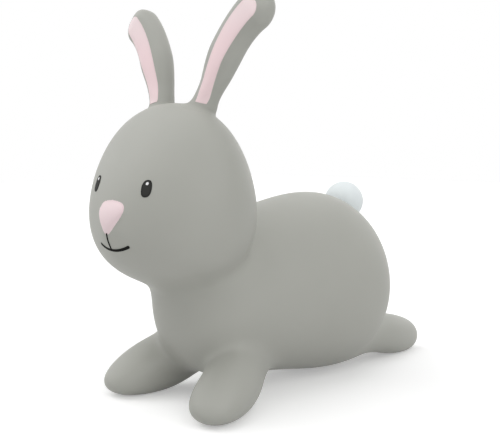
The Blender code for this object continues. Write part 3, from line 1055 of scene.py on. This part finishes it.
def turned(name, profile, finish, closed):
    """Spin a profile round the valve's axis. A closed profile makes a ring, an open one a solid."""
    bm = bmesh.new()
    points = [bm.verts.new((point.x, 0, point.y)) for point in rounded(profile)]
    for pair in zip(points, points[1:] + points[:1] if closed else points[1:]):
        bm.edges.new(pair)
    ring = bm.verts[:] + bm.edges[:]
    bmesh.ops.spin(bm, geom=ring, axis=(0, 0, 1), angle=math.tau, steps=SPIN_STEPS, use_merge=True)
    bmesh.ops.remove_doubles(bm, verts=bm.verts, dist=MERGE)
    bmesh.ops.recalc_face_normals(bm, faces=bm.faces)
    turn = VALVE_AXIS.to_track_quat("Z", "Y").to_matrix().to_4x4()
    bmesh.ops.transform(bm, matrix=Matrix.Translation(VALVE_AT) @ turn, verts=bm.verts)
    rest = bm.verts.layers.float_vector.new("rest_place")
    for vert in bm.verts:
        vert[rest] = vert.co
    mesh = bpy.data.meshes.new(name)
    bm.to_mesh(mesh)
    bm.free()
    mesh.shade_smooth()
    mesh.set_sharp_from_angle(angle=SHARP_ANGLE)
    mesh.materials.append(finish)
    piece = bpy.data.objects.new(name, mesh)
    bpy.context.scene.collection.objects.link(piece)
    print(name, len(mesh.polygons), "faces")
    return piece


print("turned in", SPIN_STEPS, "steps")

# %% [markdown]
# The bush is a ring with a flange outside the skin. Its bore narrows a little inwards, so that the
# stopper wedges in it. In the profiles the third number is the reach of the rounded corner.

# %% Valve bush
FLANGE_RADIUS, FLANGE_TOP, FLANGE_UNDER = 0.0110, 0.0012, -0.0003
BUSH_RADIUS, BUSH_END = 0.0070, -0.0140
BORE_OUT, BORE_IN = 0.0047, 0.0041
BUSH_PROFILE = [
    (BORE_OUT, FLANGE_TOP, 0.0005),
    (FLANGE_RADIUS, FLANGE_TOP, 0.0008),
    (FLANGE_RADIUS, FLANGE_UNDER, 0.0003),
    (BUSH_RADIUS, FLANGE_UNDER, 0.0),
    (BUSH_RADIUS, BUSH_END, 0.0006),
    (BORE_IN, BUSH_END, 0.0004),
]
bush = turned("valve_bush", BUSH_PROFILE, VALVE_PLASTIC, closed=True)
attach(bush, "skin")
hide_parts("valve_seat")

# %% [markdown]
# The stopper has a tapered shank and a head that lies on the flange. A shallow dish in the head gives
# the thumb a hold. It rides on its own body and slides out along the valve's axis.

# %% Valve stopper
GAP = 0.0003  # between the stopper and the bush
STOPPER_RADIUS, STOPPER_TOP, STOPPER_END = 0.0075, 0.0041, -0.0125
STOPPER_UNDER = FLANGE_TOP + GAP
DISH_RADIUS, DISH_DEPTH = 0.0048, 0.0008
PLUG_PROFILE = [
    (0.0, STOPPER_TOP - DISH_DEPTH, 0.0),
    (DISH_RADIUS - DISH_DEPTH, STOPPER_TOP - DISH_DEPTH, 0.0006),
    (DISH_RADIUS, STOPPER_TOP, 0.0004),
    (STOPPER_RADIUS, STOPPER_TOP, 0.0010),
    (STOPPER_RADIUS, STOPPER_UNDER, 0.0006),
    (BORE_OUT - GAP, STOPPER_UNDER, 0.0004),
    (BORE_IN - GAP, STOPPER_END, 0.0010),
    (0.0, STOPPER_END, 0.0),
]
plug = turned("valve_plug", PLUG_PROFILE, VALVE_PLASTIC, closed=False)
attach(plug, "stopper")
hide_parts("valve_stopper")

# %% [markdown]
# ## Studio
# The toy stands in a white studio. A bright room would wash out its grey, so the world gives only a
# little light, and just the rays that show the background see it as white.

# %% White background
AROUND_LIGHT = 0.10
BACKGROUND_RAYS = ("Is Camera Ray", "Is Glossy Ray", "Is Transmission Ray")
scene = bpy.context.scene
scene.view_settings.view_transform = "Standard"


def seen(start):
    """One for rays that show the background: from the camera, in gloss and through glass."""
    path = start.node("ShaderNodeLightPath")
    camera, gloss, glass = (path.sibling(ray) for ray in BACKGROUND_RAYS)
    return (camera + gloss + glass).clamp(0.0, 1.0)


world = bpy.data.worlds.new("studio")
world.use_nodes = True
scene.world = world
background = world.node_tree.nodes["Background"]
background.inputs["Color"].default_value = (1, 1, 1, 1)
strength = AROUND_LIGHT + seen(Wire(background.outputs[0])) * (1.0 - AROUND_LIGHT)
world.node_tree.links.new(strength.socket, background.inputs["Strength"])
print("light from all around", AROUND_LIGHT)

# %% [markdown]
# The floor is pale and dull and lies just under the soles. To the camera it glows a little, which lifts
# it to white and leaves the soft shadow of the toy.

# %% Floor
FLOOR_SIZE, FLOOR_HEIGHT = 12.0, -0.0004
FLOOR_TONE, FLOOR_LIFT, FLOOR_ROUGHNESS = 0.86, 0.32, 0.9


def grey(tone):
    return rgba((tone, tone, tone))


bpy.ops.mesh.primitive_plane_add(size=FLOOR_SIZE, location=(0, 0, FLOOR_HEIGHT))
floor = bpy.context.object
floor.name = "floor"
pale_floor, start = new_finish(
    "pale_floor",
    Base_Color=grey(FLOOR_TONE),
    Roughness=FLOOR_ROUGHNESS,
    Specular_IOR_Level=0.0,
    Emission_Strength=1.0,
)
feed(pale_floor, Emission_Color=shade(seen(start), grey(0.0), grey(FLOOR_LIFT)))
floor.data.materials.append(pale_floor)
print("floor", FLOOR_SIZE, "m wide")

# %% [markdown]
# Five broad soft lights stand overhead, in front, on each side as the camera sees it, and behind. Suns
# with a wide angle act like large soft boxes, and they don't fade with distance.

# %% Lights
SOFTNESS = math.radians(60)
SOFT_LIGHTS = {
    "overhead": (0.82, Vector((0, 0, 1))),
    "front": (0.76, Vector((-0.25, -0.72, 0.75))),
    "left": (0.92, Vector((-0.80, -0.30, 0.60))),
    "right": (1.32, Vector((0.85, -0.15, 0.50))),
    "behind": (0.50, Vector((-0.10, 0.85, 0.45))),
}
for name, (strength, source) in SOFT_LIGHTS.items():
    lamp = bpy.data.objects.new(name, bpy.data.lights.new(name, "SUN"))
    lamp.data.energy = strength
    lamp.data.angle = SOFTNESS
    lamp.rotation_euler = source.to_track_quat("Z", "Y").to_euler()
    scene.collection.objects.link(lamp)
print("lights", list(SOFT_LIGHTS))

# %% [markdown]
# The camera looks at the toy from its front left, a little above its middle. Its place and focal length
# come from fitting the outline of the toy in the picture.

# %% Camera
IMAGE_WIDTH, FOCAL_PIXELS = 500, 823.3
SENSOR = 36.0
AIM = Vector((0, -0.0582, 0.2427))
DISTANCE, AZIMUTH, ELEVATION = 1.196, math.radians(44.47), math.radians(5.26)

camera = bpy.data.objects.new("camera", bpy.data.cameras.new("camera"))
level = math.cos(ELEVATION)
back = Vector((math.sin(AZIMUTH) * level, -math.cos(AZIMUTH) * level, math.sin(ELEVATION)))
camera.location = AIM + back * DISTANCE
camera.rotation_euler = back.to_track_quat("Z", "Y").to_euler()
camera.data.sensor_width = SENSOR
camera.data.lens = FOCAL_PIXELS * SENSOR / IMAGE_WIDTH
scene.collection.objects.link(camera)
scene.camera = camera
print("camera at", [round(x, 3) for x in camera.location])
